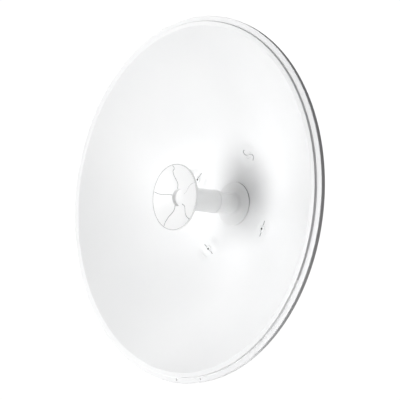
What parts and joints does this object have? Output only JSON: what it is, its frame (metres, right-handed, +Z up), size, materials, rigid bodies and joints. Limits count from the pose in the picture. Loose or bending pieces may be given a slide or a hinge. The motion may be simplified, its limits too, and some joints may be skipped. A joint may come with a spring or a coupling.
{
  "type": "microwave dish antenna",
  "caption": "Deep round microwave dish with a front tube feed and splash disc, on a tilting bracket with a flat mast plate.",
  "frame": {"origin": "centre of the flat rear face of the mast plate", "axes": "+Y out of the mast plate towards the mast, so the beam points along -Y; +X to the right as seen from the front; +Z up"},
  "size_m": [0.65, 0.2874, 0.65],
  "materials": {
    "white_paint": "smooth white powder coat, satin",
    "white_plastic": "smooth white moulded plastic, semi-gloss",
    "bare_aluminium": "cast or pressed, satin",
    "zinc_steel": "galvanised, dull",
    "nickel_brass": "machined, bright",
    "black_plastic": "moulded, matte"
  },
  "bodies": {
    "root": {"reflector": "white_paint", "hub_ring": "white_plastic", "feed_tube": "white_plastic", "feed_sleeve": "white_plastic", "splash_cap": "white_plastic", "splash_plate": "bare_aluminium", "dish_bolt_1": "white_paint", "dish_bolt_2": "white_paint", "dish_bolt_3": "white_paint", "dish_bolt_4": "white_paint", "dish_spacer_1": "zinc_steel", "dish_spacer_2": "zinc_steel", "dish_spacer_3": "zinc_steel", "dish_spacer_4": "zinc_steel", "dish_nut_1": "zinc_steel", "dish_nut_2": "zinc_steel", "dish_nut_3": "zinc_steel", "dish_nut_4": "zinc_steel", "back_plate": "zinc_steel", "feed_body": "bare_aluminium", "signal_port_left": "nickel_brass", "signal_port_right": "nickel_brass", "port_cap_left": "black_plastic", "port_cap_right": "black_plastic", "dish_ear_left": "zinc_steel", "dish_ear_right": "zinc_steel", "mast_ear_left": "zinc_steel", "mast_ear_right": "zinc_steel", "pivot_bolt_left": "zinc_steel", "pivot_bolt_right": "zinc_steel", "pivot_nut_left": "zinc_steel", "pivot_nut_right": "zinc_steel", "lock_bolt_left": "zinc_steel", "lock_bolt_right": "zinc_steel", "lock_nut_left": "zinc_steel", "lock_nut_right": "zinc_steel", "mast_plate": "zinc_steel"}
  },
  "joints": []
}
